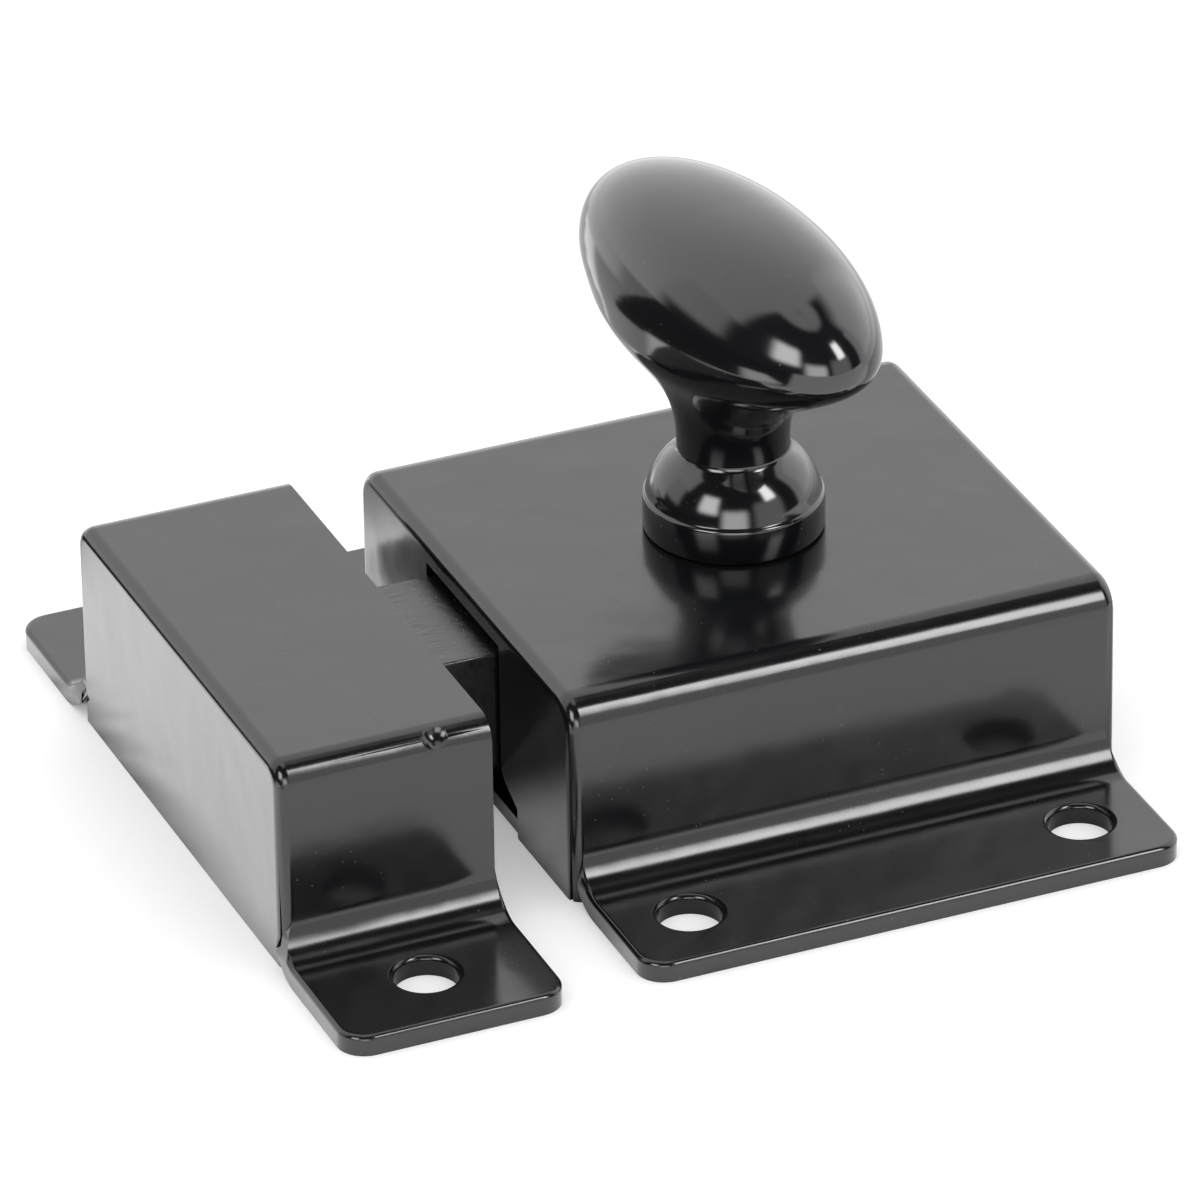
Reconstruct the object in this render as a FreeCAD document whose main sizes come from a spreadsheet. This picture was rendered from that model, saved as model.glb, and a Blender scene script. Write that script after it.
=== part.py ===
import FreeCAD, Part
import math
import os
import re
import Sketcher
from FreeCAD import Rotation, Vector

# Cupboard catch latch: a surface-mounted case with an oval knob and a sprung, bevelled bolt, and its keeper.
# Millimetres. The origin is on the mounting plane under the knob's axis, +Z points out of the door,
# and the keeper stands on the -X side with its open side towards the bolt.

document = FreeCAD.newDocument("CupboardCatch")
sizes = document.addObject("Spreadsheet::Sheet", "Sizes")

DRIVING_SIZES = (
    ("sheet_wall", 1.6, "thickness of the folded steel of case and keeper"),
    ("case_width", 44.0, "case along the bolt, over its end walls"),
    ("case_depth", 40.8, "case across the bolt, over its long walls"),
    ("case_height", 16.6, "top of the case over the door"),
    ("case_reach", 13.0, "case's screw flanges beyond its long walls"),
    ("flange_step", 0.4, "case's screw flanges back from its end walls"),
    ("case_bend", 2.5, "outer radius of the case's folds from top to long walls"),
    ("keeper_bend", 1.9, "outer radius of the same folds on the keeper"),
    ("end_round", 1.0, "outer radius round the end walls and their upright corners"),
    ("foot_bend", 3.0, "outer radius of the fold from wall to flange"),
    ("flange_corner", 2.2, "radius of the flanges' corners in plan"),
    ("rim_round", 0.4, "paint-softened rim of holes and flanges"),
    ("screw_hole", 4.8, "diameter of the screw holes"),
    ("screw_inset", 6.3, "case screws in from its end walls"),
    ("screw_edge", 6.05, "case screws from the flanges' edge"),
    ("window_width", 14.0, "slot for the bolt in the end wall"),
    ("window_sill", 4.0, "height where the slot reaches its narrow width"),
    ("window_head", 1.8, "slot's top below the case's top"),
    ("window_shoulder", 1.6, "radius of the slot's widening shoulders"),
    ("notch_width", 20.0, "notch for the back plate's tongue at the foot of the end walls"),
    ("notch_height", 2.5, "height of that notch"),
    ("keeper_gap", 6.1, "clear space between case and keeper"),
    ("keeper_width", 16.7, "keeper along the bolt"),
    ("keeper_height", 16.9, "top of the keeper"),
    ("keeper_reach", 13.4, "keeper's screw flanges beyond its long walls"),
    ("keeper_step", 0.35, "keeper's flanges wider on each side than its box"),
    ("keeper_screw_edge", 6.45, "keeper screws from the flanges' edge"),
    ("dent_radius", 1.4, "small dent in the keeper's near top edge"),
    ("dent_lift", 0.1, "centre of the dent's round over the edge"),
    ("dent_place", 4.1, "dent, from the keeper's middle towards the case"),
    ("plate_wall", 1.2, "thickness of the back plate"),
    ("plate_recess", 0.1, "back plate behind the mounting plane"),
    ("plate_fit", 0.25, "gap round the back plate"),
    ("guide_length", 18.0, "length of the back plate's guide lugs"),
    ("guide_height", 7.0, "lugs over the back plate"),
    ("bolt_width", 13.0, "bolt's nose across"),
    ("bolt_height", 10.1, "bolt's nose, underside to top"),
    ("window_play", 0.8, "bolt's nose below the slot's top"),
    ("bolt_reach", 9.2, "nose beyond the case's end wall"),
    ("bolt_edge", 0.2, "rounding of the nose's top edges"),
    ("frame_height", 6.5, "thickness of the bolt's frame"),
    ("frame_rail", 2.0, "rails beside the frame's opening"),
    ("frame_bar", 4.0, "cross-bar that the cam pushes"),
    ("frame_end", 2.7, "bar between the frame's opening and the end wall"),
    ("slide_fit", 0.15, "clearance of the sliding bolt"),
    ("stop_fit", 0.3, "bolt's frame behind the end wall at rest"),
    ("cam_lift", 4.2, "bolt travel for each radian of knob turn, the cam's base radius"),
    ("cam_seat", 5.2, "spindle axis to the cam's flat front"),
    ("cam_turn", 75.0, "full turn of the knob in degrees"),
    ("cam_wall", 3.4, "thickness of the cam's arms"),
    ("cam_foot", 1.5, "cam's lower boss under the arms"),
    ("cam_hub", 5.0, "radius of the cam's hub"),
    ("cam_tip", 1.0, "width left at the tips of the arms"),
    ("cam_fit", 0.05, "clearance between cam and cross-bar at rest"),
    ("running_fit", 0.05, "radial clearance of turning pieces"),
    ("axial_fit", 0.1, "play of the spindle along its axis"),
    ("journal_radius", 4.0, "spindle where it turns in the case's top"),
    ("spindle_square", 5.5, "spindle across its flats"),
    ("pivot_radius", 2.5, "spindle's end in the back plate"),
    ("tenon_radius", 2.4, "spindle inside the knob"),
    ("tenon_length", 10.0, "spindle inside the knob"),
    ("washer_wall", 0.8, "thrust washer"),
    ("washer_radius", 7.0, "thrust washer"),
    ("pin_radius", 1.0, "cross pin through hub and spindle"),
    ("pin_drop", 3.1, "cross pin below the hub's top"),
    ("spring_wire", 0.6, "bolt spring's wire diameter"),
    ("spring_radius", 2.5, "bolt spring's mean radius"),
    ("spring_turns", 5.0, "turns of the bolt spring"),
    ("peg_seat", 0.8, "thickness of the spring peg's seat"),
    ("peg_radius", 1.9, "spring peg"),
    ("peg_length", 3.2, "spring peg beyond its seat"),
    ("spigot_length", 0.8, "bolt's spigot in the spring's end"),
    ("collar_radius", 6.75, "knob's foot"),
    ("collar_rise", 2.1, "height of the foot's upright rim"),
    ("collar_height", 5.4, "foot and rounded shoulder together"),
    ("neck_radius", 4.25, "knob's waist"),
    ("neck_level", 6.3, "waist over the case's top"),
    ("head_level", 19.65, "widest ring of the oval head over the case's top"),
    ("head_long", 17.07, "half of the head's length"),
    ("head_wide", 8.1, "half of the head's width"),
    ("head_dome", 7.0, "height of the head's dome over that ring"),
    ("head_turn", 6.5, "oval's turn from straight across the bolt, in degrees"),
)

for row, (alias, number, note) in enumerate(DRIVING_SIZES, 1):
    sizes.set(f"A{row}", note)
    sizes.set(f"B{row}", str(number))
    sizes.setAlias(f"B{row}", alias)
document.recompute()
ALIASES = {alias for alias, number, note in DRIVING_SIZES}


def spelled(expression):
    """The expression with each size's name led by its sheet."""
    return re.sub(r"[a-z_]+", lambda word: ("Sizes." if word[0] in ALIASES else "") + word[0], expression)


def value(expression):
    return float(sizes.evalExpression(spelled(expression)))


def bind(item, **expressions):
    for prop, expression in expressions.items():
        item.setExpression(prop.replace("__", "."), spelled(expression))


# Heights and places that several pieces share, in terms of the driving sizes.
PLATE_TOP = "(plate_recess + plate_wall)"
CEILING = "(case_height - sheet_wall)"
END_FACE = "(case_width / 2 - sheet_wall)"
CASE_FLANGE = "(case_width - 2 * flange_step)"
CASE_LENGTH = "(case_depth + 2 * case_reach)"
KEEPER_FLANGE = "(keeper_width + 2 * keeper_step)"
KEEPER_LENGTH = "(case_depth + 2 * keeper_reach)"
CAM_TRAVEL = "(cam_lift * cam_turn * 3.14159265 / 180)"
CAM_SWEEP = f"(sqrt((cam_seat + {CAM_TRAVEL}) ^ 2 + cam_lift ^ 2) + 0.4)"
FRAME_BOTTOM = f"({PLATE_TOP} + slide_fit)"
FRAME_HALF = f"({CAM_SWEEP} + frame_rail)"
FRAME_FRONT = f"({END_FACE} - stop_fit)"
BAR_FACE = "(cam_seat + cam_fit)"
BAR_BACK = f"({BAR_FACE} + frame_bar)"
SPRING_LEVEL = f"({FRAME_BOTTOM} + frame_height / 2)"
PEG_FACE = f"({END_FACE} - peg_seat)"
CAM_BOTTOM = f"({FRAME_BOTTOM} + cam_foot)"
HUB_TOP = f"({CEILING} - axial_fit - washer_wall)"
PIN_LEVEL = f"({HUB_TOP} - pin_drop)"
WINDOW_TOP = "(case_height - window_head)"
BOLT_TOP = f"({WINDOW_TOP} - window_play)"
KNOB_FOOT = "(case_height + axial_fit)"
KEEPER_PLACE = "(-case_width / 2 - keeper_gap - keeper_width / 2)"


def new_body(name):
    part = document.addObject("PartDesign::Body", name)
    part.Label = name
    part.AllowCompound = True
    return part


def new_sketch(part, name, role, level="0"):
    """A sketch on one of the body's own origin planes, moved along its normal by level."""
    item = part.newObject("Sketcher::SketchObject", name)
    base = next(feature for feature in part.Origin.OriginFeatures if feature.Role == role)
    item.AttachmentSupport = [(base, "")]
    item.MapMode = "FlatFace"
    bind(item, AttachmentOffset__Base__z=level)
    return item


def tie_point(item, geometry, point, place):
    for kind, expression in zip(("DistanceX", "DistanceY"), place):
        rule = Sketcher.Constraint(kind, -1, 1, geometry, point, value(expression))
        number = item.addConstraint(rule)
        bind(item, **{f"Constraints[{number}]": expression})


def outline(item, corners):
    """A closed outline whose corners are pairs of expressions."""
    first = item.GeometryCount
    points = [Vector(value(along), value(up), 0) for along, up in corners]
    for start, end in zip(points, points[1:] + points[:1]):
        item.addGeometry(Part.LineSegment(start, end), False)
    for index in range(len(corners)):
        following = first + (index + 1) % len(corners)
        item.addConstraint(Sketcher.Constraint("Coincident", first + index, 2, following, 1))
        tie_point(item, first + index, 1, corners[index])


def rectangle(item, left, right, low, high):
    outline(item, ((left, low), (right, low), (right, high), (left, high)))


def circle(item, place, radius):
    centre = Vector(value(place[0]), value(place[1]), 0)
    index = item.addGeometry(Part.Circle(centre, Vector(0, 0, 1), value(radius)), False)
    number = item.addConstraint(Sketcher.Constraint("Radius", index, value(radius)))
    bind(item, **{f"Constraints[{number}]": radius})
    tie_point(item, index, 3, place)


def pad(part, name, profile, length, symmetric=False):
    feature = part.newObject("PartDesign::Pad", name)
    feature.Profile = profile
    feature.SideType = "Symmetric" if symmetric else "One side"
    bind(feature, Length=length)
    document.recompute()


def pocket(part, name, profile, length, symmetric=False, upwards=False):
    """A cut that has to take something away."""
    before = part.Shape.Volume
    feature = part.newObject("PartDesign::Pocket", name)
    feature.Profile = profile
    feature.SideType = "Symmetric" if symmetric else "One side"
    feature.Reversed = upwards
    bind(feature, Length=length)
    document.recompute()
    if part.Shape.Volume > before - 1e-3:
        raise RuntimeError(f"{name} cuts nothing")


def straight_edges(part, direction, **places):
    """Names of the edges along one axis whose ends lie at the given distances from the other axes."""
    found = []
    for index, edge in enumerate(part.Shape.Edges, 1):
        if len(edge.Vertexes) != 2:
            continue
        ends = [vertex.Point for vertex in edge.Vertexes]
        run = ends[1] - ends[0]
        if abs(getattr(run, direction)) < edge.Length - 1e-4:
            continue
        misses = [abs(abs(getattr(end, axis)) - abs(value(place)))
                  for end in ends for axis, place in places.items()]
        if max(misses) < 1e-3:
            found.append(f"Edge{index}")
    return found


def rim_edges(part, radius, level):
    """Names of the round rims of one radius at one height."""
    found = []
    for index, edge in enumerate(part.Shape.Edges, 1):
        if not isinstance(edge.Curve, Part.Circle):
            continue
        same_size = abs(edge.Curve.Radius - value(radius)) < 1e-3
        if same_size and abs(edge.Curve.Center.z - value(level)) < 1e-3:
            found.append(f"Edge{index}")
    return found


def round_edges(part, name, radius, edges):
    if not edges:
        raise RuntimeError(f"{name} finds no edge")
    base = part.Tip
    feature = part.newObject("PartDesign::Fillet", name)
    feature.Base = (base, edges)
    bind(feature, Radius=radius)
    document.recompute()


def join(name, *pieces):
    whole = document.addObject("Part::MultiFuse", name)
    whole.Label = name
    whole.Shapes = list(pieces)
    whole.Refine = True
    document.recompute()
    return whole


def without(name, base, tool):
    rest = document.addObject("Part::Cut", name)
    rest.Label = name
    rest.Base = base
    rest.Tool = tool
    rest.Refine = True
    document.recompute()
    return rest


def rod(name, radius, length, place=("0", "0", "0"), axis=None):
    """A round bar from place along +Z, or along the axis given."""
    item = document.addObject("Part::Cylinder", name)
    item.Label = name
    if axis:
        item.Placement.Rotation = Rotation(Vector(0, 0, 1), axis)
    bind(item, Radius=radius, Height=length, Placement__Base__x=place[0],
         Placement__Base__y=place[1], Placement__Base__z=place[2])
    document.recompute()
    return item


ALONG_BOLT = Vector(1, 0, 0)


# Folded sheet: a strip bent into top, long walls and screw flanges, with end walls folded down from the top.

def folded_strip(name, width, depth, height, length, bend):
    half, inner, reach = f"({depth} / 2)", f"({depth} / 2 - sheet_wall)", f"({length} / 2)"
    right_side = ((reach, "0"), (reach, "sheet_wall"), (half, "sheet_wall"), (half, height))
    left_side = tuple((f"-{across}", up) for across, up in reversed(right_side))
    under = ((f"-{inner}", "0"), (f"-{inner}", f"{height} - sheet_wall"),
             (inner, f"{height} - sheet_wall"), (inner, "0"))
    part = new_body(name)
    section = new_sketch(part, f"{name}_section", "YZ_Plane")
    outline(section, right_side + left_side + under)
    pad(part, f"{name}_sheet", section, width, symmetric=True)
    round_edges(part, f"{name}_foot", "foot_bend", straight_edges(part, "x", y=half, z="sheet_wall"))
    round_edges(part, f"{name}_foot_under", "foot_bend + sheet_wall",
                straight_edges(part, "x", y=inner, z="0"))
    round_edges(part, f"{name}_top", bend, straight_edges(part, "x", y=half, z=height))
    round_edges(part, f"{name}_corners", "flange_corner",
                straight_edges(part, "z", x=f"{width} / 2", y=reach))
    # The rims' rounding runs on round the flanges' corners and along their sides.
    round_edges(part, f"{name}_rims", "rim_round", straight_edges(part, "x", y=reach, z="sheet_wall"))
    return part


def trim_ends(part, name, width, flange, height, length, closed_sides):
    """Cuts the walls back from the flanges' width, behind an end wall by that wall's rounding."""
    trims = new_sketch(part, f"{name}_form", "XZ_Plane")
    for side in (-1, 1):
        wall = f"{side} * ({width} / 2 - end_round)" if side in closed_sides else f"{side} * {width} / 2"
        foot, away, above = f"{side} * {flange} / 2", f"{side} * {width}", f"{height} + sheet_wall"
        outline(trims, ((foot, "sheet_wall"), (wall, "sheet_wall + foot_bend"), (wall, above),
                        (away, above), (away, "sheet_wall")))
    pocket(part, name, trims, length, symmetric=True)


def drill_flanges(part, name, hole_places):
    holes = new_sketch(part, f"{name}_places", "XY_Plane")
    for place in hole_places:
        circle(holes, place, "screw_hole / 2")
    pocket(part, name, holes, "sheet_wall", upwards=True)
    round_edges(part, f"{name}_rims", "rim_round", rim_edges(part, "screw_hole / 2", "sheet_wall"))


def end_walls(name, sides, width, depth, height, bend):
    part = new_body(name)
    plan = new_sketch(part, f"{name}_plan", "XY_Plane")
    for side in sides:
        outer, inner = f"{side} * {width} / 2", f"{side} * ({width} / 2 - sheet_wall)"
        rectangle(plan, inner, outer, f"-{depth} / 2", f"{depth} / 2")
    pad(part, f"{name}_sheet", plan, height)
    round_edges(part, f"{name}_ends", bend, straight_edges(part, "x", y=f"{depth} / 2", z=height))
    # This rounding runs on down the upright corners.
    round_edges(part, f"{name}_round", "end_round", straight_edges(part, "y", x=f"{width} / 2", z=height))
    return part


def make_case():
    strip = folded_strip("case_strip", CASE_FLANGE, "case_depth", "case_height", CASE_LENGTH, "case_bend")
    hole_places = [(f"{along} * (case_width / 2 - screw_inset)", f"{across} * ({CASE_LENGTH} / 2 - screw_edge)")
                   for along in (-1, 1) for across in (-1, 1)]
    trim_ends(strip, "case_trims", "case_width", CASE_FLANGE, "case_height", CASE_LENGTH, (-1, 1))
    drill_flanges(strip, "case_holes", hole_places)
    bearing = new_sketch(strip, "case_bearing_place", "XY_Plane", CEILING)
    circle(bearing, ("0", "0"), "journal_radius + running_fit")
    pocket(strip, "case_bearing", bearing, "sheet_wall", upwards=True)

    ends = end_walls("case_ends", (-1, 1), "case_width", "case_depth", "case_height", "case_bend")
    window = new_sketch(ends, "case_window_form", "YZ_Plane", f"-{END_FACE}")
    right_side = (("notch_width / 2", "0"), ("notch_width / 2", "notch_height"),
                  ("window_width / 2", "window_sill"), ("window_width / 2", WINDOW_TOP))
    left_side = tuple((f"-{across}", up) for across, up in reversed(right_side))
    outline(window, right_side + left_side)
    pocket(ends, "case_window", window, "sheet_wall")
    shoulders = straight_edges(ends, "x", y="window_width / 2", z="window_sill")
    round_edges(ends, "case_window_shoulders", "window_shoulder", shoulders)
    notch = new_sketch(ends, "case_notch_form", "YZ_Plane", "case_width / 2")
    rectangle(notch, "-notch_width / 2", "notch_width / 2", "0", "notch_height")
    pocket(ends, "case_notch", notch, "sheet_wall")
    return join("case", strip, ends)


def make_keeper():
    strip = folded_strip("keeper_strip", KEEPER_FLANGE, "case_depth", "keeper_height", KEEPER_LENGTH,
                         "keeper_bend")
    trim_ends(strip, "keeper_trims", "keeper_width", KEEPER_FLANGE, "keeper_height", KEEPER_LENGTH, (-1,))
    hole_places = [("0", f"{across} * ({KEEPER_LENGTH} / 2 - keeper_screw_edge)") for across in (-1, 1)]
    drill_flanges(strip, "keeper_holes", hole_places)
    end = end_walls("keeper_end", (-1,), "keeper_width", "case_depth", "keeper_height", "keeper_bend")
    dent = document.addObject("Part::Sphere", "keeper_dent")
    bind(dent, Radius="dent_radius", Placement__Base__x="dent_place",
         Placement__Base__y="-case_depth / 2 - dent_lift", Placement__Base__z="keeper_height + dent_lift")
    keeper = without("keeper", join("keeper_sheet", strip, end), dent)
    bind(keeper, Placement__Base__x=KEEPER_PLACE)
    return keeper


def make_back_plate():
    part = new_body("back_plate")
    plan = new_sketch(part, "plate_plan", "XY_Plane", "plate_recess")
    side, tongue = f"({END_FACE} - plate_fit)", "(case_width / 2 - plate_fit)"
    half, tongue_half = "(case_depth / 2 - sheet_wall - plate_fit)", "(notch_width / 2 - plate_fit)"
    corner = ((side, half), (side, tongue_half), (tongue, tongue_half))
    quarters = (corner, tuple((x, f"-{y}") for x, y in reversed(corner)),
                tuple((f"-{x}", f"-{y}") for x, y in corner),
                tuple((f"-{x}", y) for x, y in reversed(corner)))
    outline(plan, sum(quarters, ()))
    circle(plan, ("0", "0"), "pivot_radius + running_fit")
    guide = f"({FRAME_HALF} + slide_fit)"
    for sign in (-1, 1):
        rectangle(plan, "-guide_length / 2", "guide_length / 2",
                  f"{sign} * ({guide} - guide_height)", f"{sign} * {guide}")
    pad(part, "plate_sheet", plan, "plate_wall")
    lugs = new_sketch(part, "plate_lug_places", "XY_Plane", "plate_recess")
    for sign in (-1, 1):
        rectangle(lugs, "-guide_length / 2", "guide_length / 2",
                  f"{sign} * {guide}", f"{sign} * ({guide} + plate_wall)")
    pad(part, "plate_lugs", lugs, "plate_wall + guide_height")
    round_edges(part, "plate_lug_folds", "plate_wall * 0.8",
                straight_edges(part, "x", y=guide, z="plate_recess"))
    return part


def make_bolt():
    part = new_body("bolt")
    plan = new_sketch(part, "bolt_frame_plan", "XY_Plane", FRAME_BOTTOM)
    opening_front = f"({FRAME_FRONT} - frame_end)"
    rectangle(plan, f"-{FRAME_FRONT}", BAR_BACK, f"-{FRAME_HALF}", FRAME_HALF)
    rectangle(plan, f"-{opening_front}", BAR_FACE, f"-{CAM_SWEEP}", CAM_SWEEP)
    pad(part, "bolt_frame", plan, "frame_height")
    side = new_sketch(part, "bolt_nose_side", "XZ_Plane")
    underside, face, tip = f"({BOLT_TOP} - bolt_height)", "-case_width / 2", "(-case_width / 2 - bolt_reach)"
    outline(side, ((f"-{opening_front}", underside), (face, underside), (tip, f"{underside} + bolt_reach"),
                   (tip, BOLT_TOP), (f"-{opening_front}", BOLT_TOP)))
    pad(part, "bolt_nose", side, "bolt_width", symmetric=True)
    top_edges = straight_edges(part, "x", y="bolt_width / 2", z=BOLT_TOP)
    round_edges(part, "bolt_edges", "bolt_edge", top_edges + straight_edges(part, "y", x=tip, z=BOLT_TOP))
    spigot = new_sketch(part, "bolt_spigot_place", "YZ_Plane", BAR_BACK)
    circle(spigot, ("0", SPRING_LEVEL), "peg_radius")
    pad(part, "bolt_spigot", spigot, "spigot_length")
    return part


def flank_point(turn):
    """A point of the cam's flank, an involute whose contact moves the flat cross-bar evenly."""
    contact = Vector(value("cam_seat") + value("cam_lift") * turn, -value("cam_lift"), 0)
    return Rotation(Vector(0, 0, 1), -math.degrees(turn)).multVec(contact)


def make_cam():
    """Hub with two like arms, so that the knob works turned either way."""
    full_turn = math.radians(value("cam_turn"))
    steps = 8
    lower = [flank_point(full_turn * step / steps) for step in range(steps + 1)]
    upper = [Vector(point.x, -point.y, 0) for point in lower]
    back = -value("cam_hub")
    tip_width = value("cam_tip")

    def curve(points):
        spline = Part.BSplineCurve()
        spline.interpolate(points)
        return spline.toShape()

    tip_low = Vector(lower[-1].x - tip_width, lower[-1].y, 0)
    tip_high = Vector(tip_low.x, -tip_low.y, 0)
    heel_low, heel_high = Vector(back, back * 0.6, 0), Vector(back, -back * 0.6, 0)
    edges = [curve(lower), Part.makeLine(lower[-1], tip_low), Part.makeLine(tip_low, heel_low),
             Part.makeLine(heel_low, heel_high), Part.makeLine(heel_high, tip_high),
             Part.makeLine(tip_high, upper[-1]), curve(upper), Part.makeLine(upper[0], lower[0])]
    arms = Part.Face(Part.Wire(Part.__sortEdges__(edges))).extrude(Vector(0, 0, value("cam_wall")))
    arms.translate(Vector(0, 0, value(CAM_BOTTOM)))
    foot = value(f"{PLATE_TOP} + axial_fit")
    hub = Part.makeCylinder(value("cam_hub"), value(HUB_TOP) - foot, Vector(0, 0, foot))
    flats = value("spindle_square + 2 * running_fit")
    socket = Part.makeBox(flats, flats, value("case_height"), Vector(-flats / 2, -flats / 2, 0))
    drilling = Part.makeCylinder(value("pin_radius + running_fit"), value("4 * cam_hub"),
                                 Vector(-value("2 * cam_hub"), 0, value(PIN_LEVEL)), ALONG_BOLT)
    cam = document.addObject("Part::Feature", "cam")
    cam.Label = "cam"
    cam.Shape = arms.fuse(hub).cut(socket).cut(drilling).removeSplitter()
    return cam


def make_spindle():
    pivot = rod("spindle_pivot", "pivot_radius", f"{PLATE_TOP} + axial_fit - plate_recess",
                ("0", "0", "plate_recess"))
    square = document.addObject("Part::Box", "spindle_flats")
    bind(square, Length="spindle_square", Width="spindle_square",
         Height=f"{HUB_TOP} - {PLATE_TOP} - axial_fit", Placement__Base__x="-spindle_square / 2",
         Placement__Base__y="-spindle_square / 2", Placement__Base__z=f"{PLATE_TOP} + axial_fit")
    journal = rod("spindle_journal", "journal_radius", f"{KNOB_FOOT} - {HUB_TOP}", ("0", "0", HUB_TOP))
    tenon = rod("spindle_tenon", "tenon_radius", "tenon_length", ("0", "0", KNOB_FOOT))
    drilling = rod("spindle_drilling", "pin_radius + running_fit", "4 * cam_hub",
                   ("-2 * cam_hub", "0", PIN_LEVEL), ALONG_BOLT)
    return without("spindle", join("spindle_bar", pivot, square, journal, tenon), drilling)


# How late the knob's waist opens out into its head, as a power of the height between the two.
FLARE = 1.4


def swell(share):
    """A smooth rise from 0 to 1."""
    share = min(share, 1.0)
    return round(share * share * (3 - 2 * share), 5)


def knob_ring(name, level, long, wide):
    """A level oval, whose long half axis lies across the bolt."""
    ring = document.addObject("Part::Ellipse", name)
    bind(ring, MajorRadius=long, MinorRadius=wide, Placement__Base__z=level)
    ring.setExpression("Placement.Rotation.Angle", spelled("90 + head_turn"))
    return ring


def make_knob():
    """One casting: a turned foot, a waist, and an oval head that the waist flares into."""
    part = new_body("knob_foot")
    section = new_sketch(part, "knob_foot_section", "XZ_Plane", "0")
    outline(section, (("0", "0"), ("collar_radius", "0"), ("collar_radius - 0.15", "collar_rise"),
                      ("collar_radius - 0.55", "(collar_rise + collar_height) / 2"),
                      ("collar_radius - 1.4", "collar_height - 0.5"),
                      ("neck_radius + 0.25", "collar_height"), ("0", "collar_height")))
    turn = part.newObject("PartDesign::Revolution", "knob_foot_turned")
    turn.Profile = section
    turn.ReferenceAxis = (section, ["V_Axis"])
    turn.Angle = 360
    document.recompute()

    sections = [knob_ring("knob_ring_foot", "collar_height - 0.6", "neck_radius + 0.35", "neck_radius + 0.35")]
    steps = 8
    for step in range(steps + 1):
        share = step / steps
        level = f"neck_level + (head_level - neck_level) * {share}"
        long = f"neck_radius + (head_long - neck_radius) * {swell(share ** FLARE)}"
        wide = f"neck_radius + (head_wide - neck_radius) * {swell(1.2 * share ** FLARE)}"
        sections.append(knob_ring(f"knob_ring_{step}", level, long, wide))
    document.recompute()
    waist = document.addObject("Part::Loft", "knob_waist")
    waist.Sections = sections
    waist.Solid = True
    document.recompute()

    dome = document.addObject("Part::Ellipsoid", "knob_dome")
    dome.Angle1 = 0
    bind(dome, Radius1="head_dome", Radius2="head_wide", Radius3="head_long", Placement__Base__z="head_level")
    dome.setExpression("Placement.Rotation.Angle", spelled("head_turn"))
    document.recompute()
    bore = rod("knob_bore", "tenon_radius + running_fit", "tenon_length")
    knob = without("knob", join("knob_casting", part, waist, dome), bore)
    bind(knob, Placement__Base__z=KNOB_FOOT)
    return knob


def make_washer():
    disc = rod("washer_disc", "washer_radius", "washer_wall", ("0", "0", HUB_TOP))
    hole = rod("washer_hole", "journal_radius + running_fit", "washer_wall", ("0", "0", HUB_TOP))
    return without("thrust_washer", disc, hole)


def make_spring():
    """Round wire wound between the bolt's cross-bar and the peg's seat."""
    length = f"({PEG_FACE} - {BAR_BACK} - spring_wire - 2 * cam_fit)"
    coil = document.addObject("Part::Helix", "spring_line")
    bind(coil, Radius="spring_radius", Pitch=f"{length} / spring_turns", Height=length)
    wire = document.addObject("Part::Circle", "spring_section")
    wire.Placement.Rotation = Rotation(Vector(1, 0, 0), 90)
    bind(wire, Radius="spring_wire / 2", Placement__Base__x="spring_radius")
    document.recompute()
    spring = document.addObject("Part::Sweep", "bolt_spring")
    spring.Label = "bolt_spring"
    spring.Sections = [wire]
    spring.Spine = (coil, [f"Edge{index}" for index in range(1, len(coil.Shape.Edges) + 1)])
    spring.Solid = True
    spring.Frenet = True
    document.recompute()
    spring.Placement.Rotation = Rotation(Vector(0, 0, 1), ALONG_BOLT)
    bind(spring, Placement__Base__x=f"{BAR_BACK} + cam_fit + spring_wire / 2",
         Placement__Base__z=SPRING_LEVEL)
    return spring


def make_spring_peg():
    seat = rod("peg_seat_disc", "spring_radius + spring_wire", "peg_seat", (PEG_FACE, "0", SPRING_LEVEL),
               ALONG_BOLT)
    stem = rod("peg_stem", "peg_radius", "peg_length", (f"{PEG_FACE} - peg_length", "0", SPRING_LEVEL),
               ALONG_BOLT)
    return join("spring_peg", seat, stem)


pieces = [
    make_case(),
    make_back_plate(),
    make_keeper(),
    make_bolt(),
    make_spring(),
    make_spring_peg(),
    make_knob(),
    make_spindle(),
    make_cam(),
    rod("cam_pin", "pin_radius", "2 * cam_hub", ("-cam_hub", "0", PIN_LEVEL), ALONG_BOLT),
    make_washer(),
]
document.recompute()

for item in document.Objects:
    if any(word in item.State for word in ("Invalid", "Error")):
        raise RuntimeError(f"{item.Name} did not build: {item.State}")
for piece in pieces:
    if piece.Shape.isNull() or not piece.Shape.isValid():
        raise RuntimeError(f"{piece.Label} is not a sound solid")

os.makedirs("parts", exist_ok=True)
for piece in pieces:
    piece.Shape.exportStep(f"parts/{piece.Label}.step")
    box = piece.Shape.BoundBox
    print(f"{piece.Label}: {len(piece.Shape.Solids)} solid, {piece.Shape.Volume:.0f} mm3, "
          f"x {box.XMin:.2f} to {box.XMax:.2f}, y {box.YMin:.2f} to {box.YMax:.2f}, "
          f"z {box.ZMin:.2f} to {box.ZMax:.2f}")
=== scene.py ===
"""Looks of the cupboard catch latch: gloss black enamel on folded sheet, a cast oval knob, a rough bolt."""
import math

import bmesh
import bpy
from mathutils import Matrix, Vector


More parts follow.
